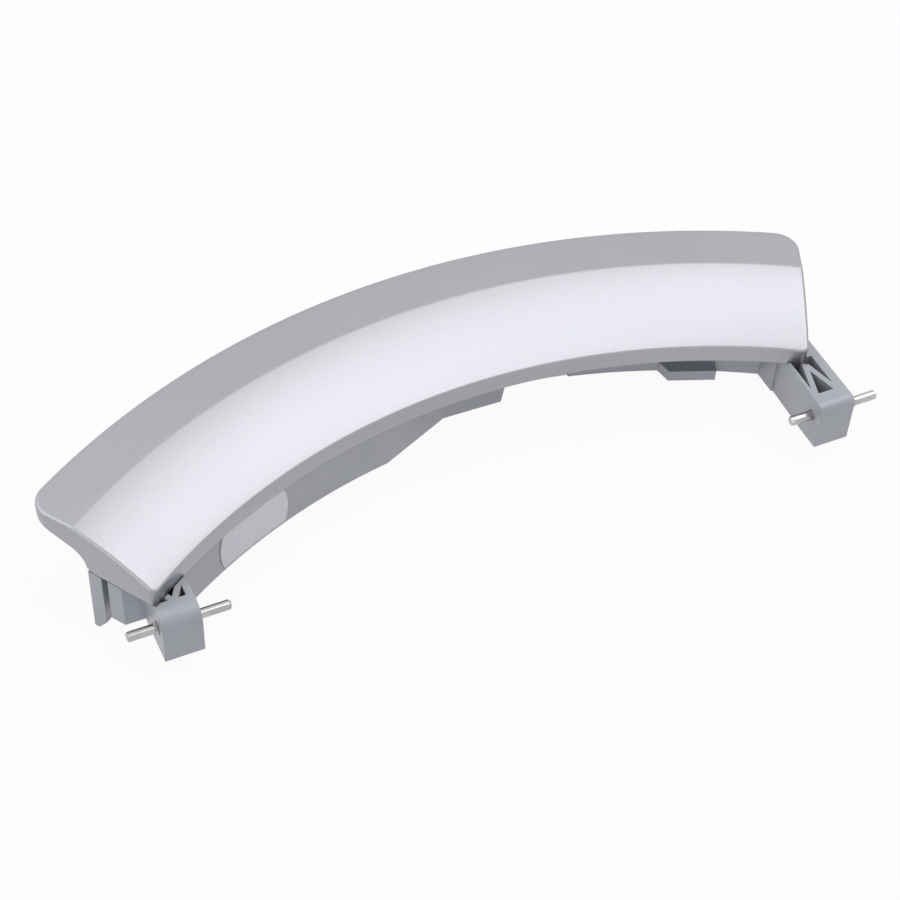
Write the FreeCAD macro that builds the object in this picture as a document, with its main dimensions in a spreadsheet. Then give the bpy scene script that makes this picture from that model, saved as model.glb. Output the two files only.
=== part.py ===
# Pull handle of a front-loading washing machine's round door, in millimetres.
#
# The handle follows the door's ring. A silver cover is gripped under its outer lip. It closes a grey
# carrier, an open moulding with truss ribs, and the carrier's two arms hold the steel hinge pins.
# The origin is the middle of the hinge axis. X runs along the axis, Y points out to the lip and Z up.
# Every sketch of the cover, the carrier and the label is drawn from the centre of the door's ring, and
# an angle round the ring counts from Y towards X, so the left end has a negative one.

import FreeCAD, Part
import math
import os
import Sketcher

SIZES = {
    # hinge: its line lies this far in front of where the left arm meets the rim
    "hinge_across": -5.4,
    "hinge_reach": 5.9,
    "pin_spacing": 213.0,
    "pin_length": 30.6,
    "pin_diameter": 3.0,
    "pin_chamfer": 0.45,
    "knurl_rise": 0.16,
    "knurl_depth": 0.4,
    "knurl_end": 7.3,
    # cover: its section from the inner rim out to the lip, and then back under the lip to the skirt
    "seam_level": 5.9,
    "rim_radius": 193.2,
    "rim_height": 6.0,
    "face_width": 28.0,
    "face_rise": 9.5,
    "face_radius": 92.0,
    "strip_width": 16.7,
    "strip_drop": 0.7,
    "grip_reach": 20.9,
    "grip_radius": 7.0,
    "grip_slope": 14.0,
    "shell": 2.2,
    "corner_round": 8.0,
    "tip_round": 1.6,
    "edge_round": 1.0,
    "lip_chamfer": 1.2,
    # ends: each tip lies this far beyond its arm's middle, and the end turns this far from the radius
    "left_tip_beyond": 5.2,
    "left_end_skew": 4.0,
    "right_tip_beyond": -0.2,
    "right_end_skew": -6.7,
    # carrier: a wall under the rim, a box behind it, then a groove and the skirt under the grip
    "seam_gap": 0.2,
    "seat_gap": 0.3,
    "wall_inset": 1.1,
    "skirt_wall": 4.6,
    "skirt_bottom": -18.2,
    "skirt_foot": 1.5,
    "skirt_foot_height": 4.0,
    "groove": 2.2,
    "web_inset": 3.0,
    "web_height": 3.2,
    "box_wall": 2.0,
    "box_left_width": 4.9,
    "floor_level": -10.2,
    "floor_wall": 2.0,
    "register_height": 2.6,
    "register_wall": 1.5,
    "register_gap": 0.2,
    # the wall's steps, as angles round the ring and depths from the box's outside
    "wall_end_angle": -9.2,
    "lug_left_angle": -2.1,
    "lug_right_angle": 4.2,
    "lug_lean": 2.6,
    "lug_depth": 7.6,
    "waist_depth": 1.8,
    "right_wall_angle": 10.2,
    "right_wall_start_depth": 3.0,
    "right_wall_end_depth": 6.3,
    "right_wall_radius": 215.0,
    "tab_left_angle": 19.0,
    "tab_slant": 1.4,
    "tab_right_angle": 23.3,
    "tab_depth": 9.3,
    "tab_height": 4.0,
    # arms
    "arm_width": 11.8,
    "left_arm_across": 106.8,
    "right_arm_across": 104.8,
    "arm_level": 6.6,
    "arm_nose": 4.5,
    "left_nose_round": 5.2,
    "right_nose_round": 2.6,
    "relief_front": 3.0,
    "relief_back": 21.8,
    "relief_depth": 0.6,
    "pin_mouth": 0.35,
    "pin_mouth_depth": 1.2,
    # truss cells: fronts and backs count from the hinge axis along an arm
    "rib": 1.8,
    "cell_half_width": 3.8,
    "left_cell_front": 2.8,
    "left_cell_base": 2.3,
    "left_cell_length": 3.9,
    "left_cell_back": 13.5,
    "right_cell_offset": -0.8,
    "right_cell_front": 1.9,
    "right_cell_base": 5.3,
    "right_cell_length": 9.5,
    "right_cell_back": 17.0,
    # label
    "label_to_arm": 17.3,
    "label_length": 25.0,
    "label_bulge_radius": 18.0,
    "label_below_rim": 1.0,
    "label_height": 14.1,
    "label_sheet": 0.15,
}
GROOVE_COUNT = 12
CELL_COUNT = 6

document = FreeCAD.newDocument("door_handle")
sheet = document.addObject("Spreadsheet::Sheet", "sizes")
for row, (alias, value) in enumerate(SIZES.items(), start=1):
    sheet.set("A%d" % row, alias)
    sheet.set("B%d" % row, str(value))
    sheet.setAlias("B%d" % row, alias)
document.recompute()


def size(alias):
    """The name of a size, as an expression reads it."""
    return "sizes." + alias


def now(expression):
    """What an expression on the sheet gives."""
    return float(sheet.evalExpression(expression))


# Levels and radii that follow from the sizes

RIM_LEVEL = "(sizes.seam_level + sizes.rim_height)"
CREASE_LEVEL = "(%s + sizes.face_rise)" % RIM_LEVEL
LIP_LEVEL = "(%s - sizes.strip_drop)" % CREASE_LEVEL
RIM_RADIUS = "sizes.rim_radius"
CREASE_RADIUS = "(sizes.rim_radius + sizes.face_width)"
LIP_RADIUS = "(%s + sizes.strip_width)" % CREASE_RADIUS
SKIRT_RADIUS = "(%s - sizes.grip_reach)" % LIP_RADIUS
SKIRT_INSIDE = "(%s - sizes.skirt_wall)" % SKIRT_RADIUS
BOX_OUTSIDE = "(%s - sizes.groove)" % SKIRT_INSIDE
WALL_RADIUS = "(sizes.rim_radius + sizes.wall_inset)"
CARRIER_TOP = "(sizes.seam_level - sizes.seam_gap)"
# How far a piece of the carrier's outline runs into its neighbour, so that the two fuse
BITE = "sizes.box_wall / 4"


def box_depth(alias):
    """The radius that lies this deep inside the box's outside."""
    return "(%s - sizes.%s)" % (BOX_OUTSIDE, alias)


def arm_across(side, beside="0"):
    """How far across the ring an arm's middle line lies, or a line beside it."""
    sign = "-" if side == "left" else "+"
    return "(sizes.hinge_across %s sizes.%s_arm_across + (%s))" % (sign, side, beside)


def arm_face(side, outer):
    """How far across the ring an arm's outer or inner face lies."""
    away = (side == "left") == outer
    return arm_across(side, "-sizes.arm_width / 2" if away else "sizes.arm_width / 2")


# How far the hinge axis lies from the ring's centre
FORWARD = "(sqrt(sizes.rim_radius^2 - %s^2) - sizes.hinge_reach)" % arm_across("left")


def angle_at(across, radius):
    """The angle round the ring of a place across, on a radius."""
    return "(asin(%s / %s) / 1deg)" % (across, radius)


def end_line(side):
    """The turn of an end's line from Y, and how far beside the ring's centre it passes."""
    sign = "-" if side == "left" else ""
    tip = arm_across(side, "%ssizes.%s_tip_beyond" % (sign, side))
    turn = "(%s + sizes.%s_end_skew)" % (angle_at(tip, RIM_RADIUS), side)
    return turn, "(-sizes.rim_radius * sin(sizes.%s_end_skew))" % side


# Expressions of places round the ring

def polar(radius, angle):
    """A place at a radius and an angle round the ring."""
    return "(%s) * sin(%s)" % (radius, angle), "(%s) * cos(%s)" % (radius, angle)


def on_end(side, radius, inset="0"):
    """Where a line along the left or right end, moved inwards by an inset, meets a radius."""
    turn, passing = end_line(side)
    sign = "+" if side == "left" else "-"
    offset = "(%s %s (%s))" % (passing, sign, inset)
    reach = "sqrt((%s)^2 - %s^2)" % (radius, offset)
    return (
        "%s * cos(%s) + %s * sin(%s)" % (offset, turn, reach, turn),
        "%s * cos(%s) - %s * sin(%s)" % (reach, turn, offset, turn),
    )


def on_circle_at(across, radius):
    """Where a line that runs along Y at a place across meets a radius."""
    return across, "sqrt((%s)^2 - (%s)^2)" % (radius, across)


# Sketches

def corner(place, radius=None, turn="left"):
    """A corner of an outline. With a radius, the side that follows is an arc that turns left or right."""
    return {"place": place, "radius": radius, "turn": turn}


def plane_of(body, role):
    for feature in body.Origin.OriginFeatures:
        if feature.Role == role:
            return feature


def new_sketch(body, name, plane="XY_Plane", level=None, turn=None):
    """A sketch on a plane of its body, raised to a level or turned about the upright axis."""
    sketch = body.newObject("Sketcher::SketchObject", name)
    sketch.AttachmentSupport = (plane_of(body, plane), "")
    sketch.MapMode = "FlatFace"
    if level:
        sketch.setExpression(".AttachmentOffset.Base.z", level)
    if turn:
        sketch.AttachmentOffset = FreeCAD.Placement(
            FreeCAD.Vector(0, 0, 0), FreeCAD.Rotation(FreeCAD.Vector(0, 1, 0), 1)
        )
        sketch.setExpression(".AttachmentOffset.Rotation.Angle", turn)
    return sketch


def arc_between(start, end, radius, turn):
    """An arc from start to end that turns left, or right when the outline goes the other way."""
    if turn == "right":
        start, end = end, start
    chord = end - start
    half = chord.Length / 2
    rise = math.sqrt(max(radius * radius - half * half, 0))
    left = FreeCAD.Vector(-chord.y, chord.x, 0).normalize()
    centre = start + chord * 0.5 + left * rise
    circle = Part.Circle(centre, FreeCAD.Vector(0, 0, 1), radius)
    first = math.atan2(start.y - centre.y, start.x - centre.x)
    last = math.atan2(end.y - centre.y, end.x - centre.x)
    return Part.ArcOfCircle(circle, first, last)


def bind(sketch, constraint, expression):
    index = sketch.addConstraint(constraint)
    sketch.setExpression("Constraints[%d]" % index, expression)


def bind_place(sketch, side, end, place, where):
    """Holds an end of a side at its place. A place on an axis of the sketch is held on that axis."""
    if place[0] == "0":
        sketch.addConstraint(Sketcher.Constraint("PointOnObject", side, end, -2))
    else:
        bind(sketch, Sketcher.Constraint("DistanceX", -1, 1, side, end, where.x), place[0])
    if place[1] == "0":
        sketch.addConstraint(Sketcher.Constraint("PointOnObject", side, end, -1))
    else:
        bind(sketch, Sketcher.Constraint("DistanceY", -1, 1, side, end, where.y), place[1])


def draw(sketch, corners):
    """Draws a closed outline, with each corner and each arc bound to the sheet."""
    places = []
    for item in corners:
        across = now(item["place"][0])
        along = now(item["place"][1])
        places.append(FreeCAD.Vector(across, along, 0))
    sides = []
    for index, item in enumerate(corners):
        start = places[index]
        end = places[(index + 1) % len(places)]
        if item["radius"]:
            radius = now(item["radius"])
            geometry = arc_between(start, end, radius, item["turn"])
            ends = (1, 2) if item["turn"] == "left" else (2, 1)
        else:
            geometry = Part.LineSegment(start, end)
            ends = (1, 2)
        sides.append((sketch.addGeometry(geometry), ends))
    for index, item in enumerate(corners):
        side, ends = sides[index]
        following, following_ends = sides[(index + 1) % len(sides)]
        sketch.addConstraint(
            Sketcher.Constraint("Coincident", side, ends[1], following, following_ends[0])
        )
        bind_place(sketch, side, ends[0], item["place"], places[index])
        if item["radius"]:
            radius = now(item["radius"])
            bind(sketch, Sketcher.Constraint("Radius", side, radius), item["radius"])


def draw_circle(sketch, radius, across=None):
    """Draws a circle about the sketch's origin, or about a place across on its horizontal axis."""
    place = now(across) if across else 0
    radius_now = now(radius)
    circle = Part.Circle(FreeCAD.Vector(place, 0, 0), FreeCAD.Vector(0, 0, 1), radius_now)
    index = sketch.addGeometry(circle)
    if across:
        sketch.addConstraint(Sketcher.Constraint("PointOnObject", index, 3, -1))
        bind(sketch, Sketcher.Constraint("DistanceX", -1, 1, index, 3, place), across)
    else:
        sketch.addConstraint(Sketcher.Constraint("Coincident", index, 3, -1, 1))
    bind(sketch, Sketcher.Constraint("Radius", index, radius_now), radius)


def sector(inner, outer, inset="0"):
    """The outline of a stretch of the ring between two radii and the two ends."""
    return [
        corner(on_end("right", inner, inset)),
        corner(on_end("right", outer, inset), outer, "left"),
        corner(on_end("left", outer, inset)),
        corner(on_end("left", inner, inset), inner, "right"),
    ]


# Features

def pad(body, sketch, length, downwards=False):
    """Raises the sketch by a length, or lowers it."""
    feature = body.newObject("PartDesign::Pad", sketch.Name + "_pad")
    feature.Profile = sketch
    feature.setExpression("Length", length)
    feature.Reversed = downwards
    document.recompute()
    return feature


def pocket(body, sketch, length=None, upwards=False):
    """Cuts down from the sketch by a length, or up, or both ways through all."""
    before = body.Tip.Shape.Volume
    feature = body.newObject("PartDesign::Pocket", sketch.Name + "_pocket")
    feature.Profile = sketch
    if length:
        feature.setExpression("Length", length)
        feature.Reversed = upwards
    else:
        feature.Type = "ThroughAll"
        feature.SideType = "Symmetric"
    document.recompute()
    if before - feature.Shape.Volume < 1e-3:
        raise RuntimeError(sketch.Name + " cuts nothing")
    return feature


def revolve(body, sketch, axis="V_Axis"):
    feature = body.newObject("PartDesign::Revolution", sketch.Name + "_revolution")
    feature.Profile = sketch
    feature.ReferenceAxis = (sketch, [axis])
    feature.Angle = 360
    document.recompute()
    return feature


def fillet(body, base, edges, radius, name):
    feature = body.newObject("PartDesign::Fillet", name)
    feature.Base = (base, edges)
    feature.setExpression("Radius", radius)
    document.recompute()
    return feature


def chamfer(body, base, edges, across, name):
    feature = body.newObject("PartDesign::Chamfer", name)
    feature.Base = (base, edges)
    feature.setExpression("Size", across)
    document.recompute()
    return feature


def edges_where(shape, test):
    """Names of the edges that pass a test of their two ends and their middle."""
    names = []
    for index, edge in enumerate(shape.Edges, start=1):
        first, last = edge.FirstParameter, edge.LastParameter
        places = [edge.valueAt(first), edge.valueAt((first + last) / 2), edge.valueAt(last)]
        if test(places):
            names.append("Edge%d" % index)
    return names


def radius_of(place):
    return math.hypot(place.x, place.y)


def near(value, expression, slack=0.02):
    return abs(value - now(expression)) < slack


def upright(places):
    return math.hypot(places[0].x - places[2].x, places[0].y - places[2].y) < 1e-4


def new_body(name, at_ring=True):
    """A body whose sketches are drawn from the ring's centre, or from the origin."""
    body = document.addObject("PartDesign::Body", name)
    body.Label = name
    if at_ring:
        body.setExpression(".Placement.Base.x", "-sizes.hinge_across")
        body.setExpression(".Placement.Base.y", "-" + FORWARD)
    return body


def cut_ends(body, inset, name):
    """Keeps only what lies between the two ends of the handle, moved inwards by an inset."""
    sketch = new_sketch(body, name)
    beyond = "%s + sizes.face_width" % LIP_RADIUS
    draw_circle(sketch, "%s + sizes.face_width" % beyond)
    draw(sketch, sector("sizes.rim_radius - sizes.face_width", beyond, inset))
    return pocket(body, sketch)


def make_cover_form():
    """The cover's outside: its section carried round the ring, then cut to the two ends and rounded."""
    body = new_body("cover_form")
    sketch = new_sketch(body, "cover_section", "XZ_Plane")
    grip_top_radius = "(%s + sizes.grip_radius * (1 - sin(sizes.grip_slope)))" % SKIRT_RADIUS
    grip_top_level = "sizes.seam_level + sizes.grip_radius * cos(sizes.grip_slope)"
    lip_rise = "(%s - %s) * tan(sizes.grip_slope)" % (LIP_RADIUS, grip_top_radius)
    draw(sketch, [
        corner((RIM_RADIUS, size("seam_level"))),
        corner((RIM_RADIUS, RIM_LEVEL), size("face_radius"), "right"),
        corner((CREASE_RADIUS, CREASE_LEVEL)),
        corner((LIP_RADIUS, LIP_LEVEL)),
        corner((LIP_RADIUS, "%s + %s" % (grip_top_level, lip_rise))),
        corner((grip_top_radius, grip_top_level), size("grip_radius"), "left"),
        corner((SKIRT_RADIUS, size("seam_level"))),
    ])
    revolve(body, sketch)
    ends = cut_ends(body, "0", "cover_ends")

    def lip_corner(places):
        return upright(places) and near(radius_of(places[1]), LIP_RADIUS)

    def rim_corner(places):
        return upright(places) and near(radius_of(places[1]), RIM_RADIUS)

    corners = fillet(body, ends, edges_where(ends.Shape, lip_corner), size("corner_round"), "corners")
    tips = fillet(body, corners, edges_where(corners.Shape, rim_corner), size("tip_round"), "tips")
    tops = fillet(body, tips, top_outline(tips.Shape), size("edge_round"), "top_edges")

    def lip_edge(places):
        wall_top = now("%s - sizes.edge_round" % LIP_LEVEL)
        return places[1].z < wall_top - 1 and near(radius_of(places[1]), LIP_RADIUS)

    chamfer(body, tops, edges_where(tops.Shape, lip_edge), size("lip_chamfer"), "lip_edge")
    return body


def top_outline(shape):
    """The edges round the upper faces: those that only one of these faces has."""
    uppers = [face for face in shape.Faces if face.normalAt(*middle_of(face)).z > 0.5]
    names = []
    for index, edge in enumerate(shape.Edges, start=1):
        count = sum(any(edge.isSame(other) for other in face.Edges) for face in uppers)
        if count == 1:
            names.append("Edge%d" % index)
    return names


def middle_of(face):
    low_u, high_u, low_v, high_v = face.ParameterRange
    return (low_u + high_u) / 2, (low_v + high_v) / 2


def make_cover_core():
    """The hollow under the cover's face, with a straight slope for its ceiling."""
    body = new_body("cover_core")
    sketch = new_sketch(body, "core_section", "XZ_Plane")
    inner = "(sizes.rim_radius + sizes.shell)"
    outer = "(%s - sizes.shell)" % SKIRT_RADIUS
    slope = "sizes.face_rise / sizes.face_width"
    inner_level = "%s - sizes.shell + sizes.shell * %s" % (RIM_LEVEL, slope)
    outer_level = "%s - sizes.shell + (%s - sizes.rim_radius) * %s" % (RIM_LEVEL, outer, slope)
    below = "sizes.seam_level - sizes.shell"
    draw(sketch, [
        corner((inner, below)),
        corner((inner, inner_level)),
        corner((outer, outer_level)),
        corner((outer, below)),
    ])
    revolve(body, sketch)
    cut_ends(body, size("shell"), "core_ends")
    return body


def make_cover():
    """The silver cover: one shell with a crowned face, a rim, end walls and a finger grip."""
    cover = document.addObject("Part::Cut", "cover")
    cover.Label = "cover"
    cover.Base = make_cover_form()
    cover.Tool = make_cover_core()
    document.recompute()
    return cover


def add_skirt(body):
    """The deep wall under the finger grip. Its inside is chamfered down to a narrow foot."""
    sketch = new_sketch(body, "skirt_section", "XZ_Plane")
    draw(sketch, [
        corner((SKIRT_RADIUS, size("skirt_bottom"))),
        corner((SKIRT_RADIUS, CARRIER_TOP)),
        corner((SKIRT_INSIDE, CARRIER_TOP)),
        corner((SKIRT_INSIDE, "sizes.skirt_bottom + sizes.skirt_foot_height")),
        corner(("%s - sizes.skirt_foot" % SKIRT_RADIUS, size("skirt_bottom"))),
    ])
    revolve(body, sketch)
    cut_ends(body, "0", "skirt_ends")


def add_box(body):
    """The box that follows the arc. Its inner wall steps back to the lug, then to the thin right part."""
    waist = box_depth("waist_depth")
    lug = box_depth("lug_depth")
    left_start = on_end("left", box_depth("box_left_width"))
    right_wall_start = polar(box_depth("right_wall_start_depth"), size("right_wall_angle"))
    right_wall_end = on_circle_at(arm_across("right"), box_depth("right_wall_end_depth"))
    sketch = new_sketch(body, "box", level=size("floor_level"))
    draw(sketch, [
        corner(left_start),
        corner(on_end("left", BOX_OUTSIDE), BOX_OUTSIDE, "right"),
        corner(on_end("right", BOX_OUTSIDE)),
        corner(on_end("right", box_depth("box_wall"))),
        corner(right_wall_end, size("right_wall_radius"), "left"),
        corner(right_wall_start),
        corner(polar(waist, size("right_wall_angle")), waist, "left"),
        corner(polar(waist, size("lug_right_angle"))),
        corner(polar(lug, size("lug_right_angle"))),
        corner(polar(lug, size("lug_left_angle"))),
        corner(polar(WALL_RADIUS, size("wall_end_angle")), WALL_RADIUS, "left"),
        corner(on_circle_at(arm_across("left"), WALL_RADIUS)),
        corner((arm_across("left"), left_start[1])),
    ])
    pad(body, sketch, "%s - sizes.floor_level" % CARRIER_TOP)


def lean_lug(body):
    """Cuts the lug's right side back towards its foot."""
    sketch = new_sketch(body, "lug_side", "XZ_Plane", turn="-" + size("lug_right_angle"))
    draw(sketch, [
        corner(("0", CARRIER_TOP)),
        corner(("-sizes.lug_lean", size("floor_level"))),
        corner(("0", size("floor_level"))),
    ])
    pocket(body, sketch, box_depth("waist_depth"))


def add_web(body):
    """The flange that joins the skirt to the box, set back behind the groove's open ends."""
    sketch = new_sketch(body, "web", level=CARRIER_TOP)
    inner = "%s - %s" % (BOX_OUTSIDE, BITE)
    outer = "%s + %s" % (SKIRT_INSIDE, BITE)
    draw(sketch, sector(inner, outer, size("web_inset")))
    pad(body, sketch, size("web_height"), downwards=True)


def add_arm(body, side):
    """An arm that runs forwards along Y: its side view, with a rounded nose, carried across its width."""
    nose = "%s - sizes.arm_nose" % FORWARD
    back = on_circle_at(arm_face(side, outer=True), "%s - %s" % (BOX_OUTSIDE, BITE))[1]
    nose_round = "sizes.%s_nose_round" % side
    sketch = new_sketch(body, side + "_arm", "YZ_Plane", level=arm_face(side, outer=side == "left"))
    draw(sketch, [
        corner((nose, size("floor_level"))),
        corner((back, size("floor_level"))),
        corner((back, size("arm_level"))),
        corner(("%s + %s" % (nose, nose_round), size("arm_level")), nose_round, "left"),
        corner((nose, "sizes.arm_level - %s" % nose_round)),
    ])
    pad(body, sketch, size("arm_width"))


def cut_relief(body):
    """The right arm's inner face, cut back along a slope that ends at a step."""
    face = arm_face("right", outer=False)
    sketch = new_sketch(body, "relief", level=size("arm_level"))
    step = "%s + sizes.relief_back" % FORWARD
    draw(sketch, [
        corner((face, "%s + sizes.relief_front" % FORWARD)),
        corner((face + " + sizes.relief_depth", step)),
        corner((face, step)),
    ])
    pocket(body, sketch, "sizes.arm_level - sizes.floor_level")


def cut_seat(body):
    """The step that the cover's rim and ends sit in, across the tops of the arms."""
    sketch = new_sketch(body, "seat", level=CARRIER_TOP)
    draw(sketch, sector("sizes.rim_radius - sizes.seat_gap", LIP_RADIUS, "-sizes.seat_gap"))
    pocket(body, sketch, "sizes.arm_level - sizes.floor_level", upwards=True)


def add_register(body):
    """The low wall on the skirt that locates the cover from inside."""
    outer = "(%s - sizes.shell - sizes.register_gap)" % SKIRT_RADIUS
    sketch = new_sketch(body, "register", level=CARRIER_TOP)
    draw(sketch, sector("%s - sizes.register_wall" % outer, outer, "sizes.shell + sizes.register_gap"))
    pad(body, sketch, size("register_height"))


def add_tab(body):
    """The tab that stands in from the foot of the right wall, with a slanted left side."""
    sketch = new_sketch(body, "tab", level=size("floor_level"))
    back = "%s - %s" % (BOX_OUTSIDE, BITE)
    draw(sketch, [
        corner(polar(box_depth("tab_depth"), size("tab_left_angle"))),
        corner(polar(back, "(sizes.tab_left_angle - sizes.tab_slant)")),
        corner(polar(back, size("tab_right_angle"))),
        corner(polar(box_depth("tab_depth"), size("tab_right_angle"))),
    ])
    pad(body, sketch, size("tab_height"))


def cell_corner(side, beside, forward):
    """A corner of an arm's cell: so far beside the cells' middle line and so far from the hinge axis."""
    offset = "sizes.right_cell_offset + " if side == "right" else ""
    return corner((arm_across(side, offset + beside), "%s + %s" % (FORWARD, forward)))


def right_arm_cells():
    """A ridge of two ribs: a triangle between them, and a cell that narrows to the front on each side."""
    half = "sizes.cell_half_width"
    front = "sizes.right_cell_front"
    back = "sizes.right_cell_back"
    base = "sizes.right_cell_base / 2"
    lean = "(%s / sizes.right_cell_length)" % base
    rib_across = "sizes.rib * sqrt(1 + %s^2)" % lean
    tip = "%s + (%s + %s - %s) / %s" % (front, base, rib_across, half, lean)
    rib_back = "(%s + %s - (%s - %s) * %s)" % (base, rib_across, back, front, lean)
    cells = [[("-" + base, front), (base, front), ("0", "%s + sizes.right_cell_length" % front)]]
    for sign in ("-", ""):
        cells.append([(sign + half, tip), (sign + half, back), (sign + rib_back, back)])
    return cells


def left_arm_cells():
    """A vee of two ribs: a small triangle outside each, and a cell between them that widens backwards."""
    half = "sizes.cell_half_width"
    front = "sizes.left_cell_front"
    back = "sizes.left_cell_back"
    foot = "(%s - sizes.left_cell_base)" % half
    lean = "(sizes.left_cell_base / sizes.left_cell_length)"
    rib_across = "sizes.rib * sqrt(1 + %s^2)" % lean
    tip = "%s + (%s - %s) / %s" % (front, rib_across, foot, lean)
    wide = "%s + (%s + %s - %s) / %s" % (front, half, rib_across, foot, lean)
    cells = [[("0", tip), (half, wide), (half, back), ("-" + half, back), ("-" + half, wide)]]
    for sign in ("-", ""):
        reach = "%s + sizes.left_cell_length" % front
        cells.append([(sign + foot, front), (sign + half, front), (sign + half, reach)])
    return cells


def cut_arm_cells(body):
    """The cells in the tops of the arms, as deep as the floor lets them be."""
    sketch = new_sketch(body, "arm_cells", level=size("arm_level"))
    for side, cells in (("left", left_arm_cells()), ("right", right_arm_cells())):
        for places in cells:
            draw(sketch, [cell_corner(side, *place) for place in places])
    pocket(body, sketch, "sizes.arm_level - sizes.floor_level - sizes.floor_wall")


def cut_box_cells(body):
    """Triangular cells between the box's walls, with ribs in a zigzag at about 45 degrees."""
    inner = "(%s + sizes.box_wall)" % WALL_RADIUS
    outer = box_depth("box_wall")
    arm_angle = angle_at(arm_across("left"), WALL_RADIUS)
    pitch = "((sizes.wall_end_angle - %s) / %d)" % (arm_angle, CELL_COUNT + 1)
    half_base = "(%s - sizes.rib * sqrt(2) / %s * 180 / pi)" % (pitch, WALL_RADIUS)
    sketch = new_sketch(body, "box_cells", level=CARRIER_TOP)
    for index in range(CELL_COUNT):
        middle = "(sizes.wall_end_angle - %s * %d)" % (pitch, index + 1)
        wide, narrow = (inner, outer) if index % 2 == 0 else (outer, inner)
        draw(sketch, [
            corner(polar(wide, "%s - %s" % (middle, half_base))),
            corner(polar(wide, "%s + %s" % (middle, half_base))),
            corner(polar(narrow, middle)),
        ])
    pocket(body, sketch, "%s - sizes.floor_level - sizes.floor_wall" % CARRIER_TOP)


PIN_RADIUS = "sizes.pin_diameter / 2"
KNURL_RADIUS = "(%s + sizes.knurl_rise)" % PIN_RADIUS


def bore_arms(body):
    """The hole that the pins' knurls fill, in one line through both arms, with a wider mouth at the left."""
    sketch = new_sketch(body, "pin_bore", "YZ_Plane")
    draw_circle(sketch, KNURL_RADIUS, FORWARD)
    pocket(body, sketch)
    mouth = new_sketch(body, "pin_mouth", "YZ_Plane", level=arm_face("left", outer=True))
    draw_circle(mouth, "%s + sizes.pin_mouth" % KNURL_RADIUS, FORWARD)
    pocket(body, mouth, size("pin_mouth_depth"), upwards=True)


def make_carrier():
    """The grey carrier, one moulding: skirt, box, web, two arms, register wall and tab."""
    body = new_body("carrier")
    add_skirt(body)
    add_box(body)
    lean_lug(body)
    add_web(body)
    add_arm(body, "left")
    add_arm(body, "right")
    cut_relief(body)
    cut_seat(body)
    add_register(body)
    add_tab(body)
    cut_arm_cells(body)
    cut_box_cells(body)
    bore_arms(body)
    return body


def make_pin(side):
    """A steel dowel with chamfered ends. Its raised knurl starts at the arm's inner face and holds it."""
    body = new_body("pin_" + side, at_ring=False)
    sign = "-" if side == "left" else ""
    middle = "%ssizes.pin_spacing / 2" % sign
    body.setExpression(".Placement.Base.x", middle)
    inner_face = "(%s - sizes.hinge_across - (%s))" % (arm_face(side, outer=False), middle)
    knurl = sorted([inner_face, "%ssizes.knurl_end" % sign], key=now)
    half = "sizes.pin_length / 2"
    tip = "%s - sizes.pin_chamfer" % PIN_RADIUS
    sketch = new_sketch(body, "pin_%s_section" % side, "XZ_Plane")
    draw(sketch, [
        corner(("-" + half, "0")),
        corner(("-" + half, tip)),
        corner(("-%s + sizes.pin_chamfer" % half, PIN_RADIUS)),
        corner((knurl[0], PIN_RADIUS)),
        corner((knurl[0], KNURL_RADIUS)),
        corner((knurl[1], KNURL_RADIUS)),
        corner((knurl[1], PIN_RADIUS)),
        corner(("%s - sizes.pin_chamfer" % half, PIN_RADIUS)),
        corner((half, tip)),
        corner((half, "0")),
    ])
    revolve(body, sketch, "H_Axis")
    groove = new_sketch(body, "knurl_%s" % side, "YZ_Plane", level=knurl[0])
    half_width = "%s * sin(180 / %d)" % (KNURL_RADIUS, GROOVE_COUNT)
    draw(groove, [
        corner(("-" + half_width, "%s + sizes.knurl_rise" % KNURL_RADIUS)),
        corner(("0", "%s - sizes.knurl_depth" % KNURL_RADIUS)),
        corner((half_width, "%s + sizes.knurl_rise" % KNURL_RADIUS)),
    ])
    cut = pocket(body, groove, "%s - %s" % (knurl[1], knurl[0]), upwards=True)
    pattern = body.newObject("PartDesign::PolarPattern", "knurl_%s_pattern" % side)
    pattern.Originals = [cut]
    pattern.Axis = (plane_of(body, "X_Axis"), [""])
    pattern.Angle = 360
    pattern.Occurrences = GROOVE_COUNT
    body.Tip = pattern
    document.recompute()
    return body


def make_label():
    """The bare paper label, bent round the inner wall, with arched short ends."""
    body = new_body("label")
    front = "(%s - sizes.label_sheet)" % WALL_RADIUS
    reach = "sizes.label_length / %s * 180 / pi" % WALL_RADIUS
    arm_angle = angle_at(arm_face("left", outer=False), WALL_RADIUS)
    middle = "(%s + (sizes.label_to_arm / sizes.label_length + 1 / 2) * %s)" % (arm_angle, reach)
    first = "(%s - %s)" % (middle, reach)
    last = "(%s + %s)" % (middle, reach)
    top = "(sizes.seam_level - sizes.label_below_rim)"
    bottom = "(%s - sizes.label_height)" % top
    face = new_sketch(body, "label_band", level=bottom)
    draw(face, [
        corner(polar(front, first), front, "right"),
        corner(polar(front, last)),
        corner(polar(WALL_RADIUS, last), WALL_RADIUS, "left"),
        corner(polar(WALL_RADIUS, first)),
    ])
    pad(body, face, size("label_height"))
    outline = new_sketch(body, "label_outline", "XZ_Plane", turn="-" + middle)
    draw_circle(outline, "sizes.label_length * 2")
    half = "sizes.label_length / 2"
    bulge = size("label_bulge_radius")
    above = "%s + sizes.label_sheet" % top
    below = "%s - sizes.label_sheet" % bottom
    draw(outline, [
        corner(("-" + half, below)),
        corner((half, below), bulge, "left"),
        corner((half, above)),
        corner(("-" + half, above), bulge, "left"),
    ])
    pocket(body, outline)
    return body


def check_document():
    for item in document.Objects:
        if "Invalid" in item.State or "Error" in item.State:
            raise RuntimeError("%s failed: %s" % (item.Name, item.State))


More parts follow.
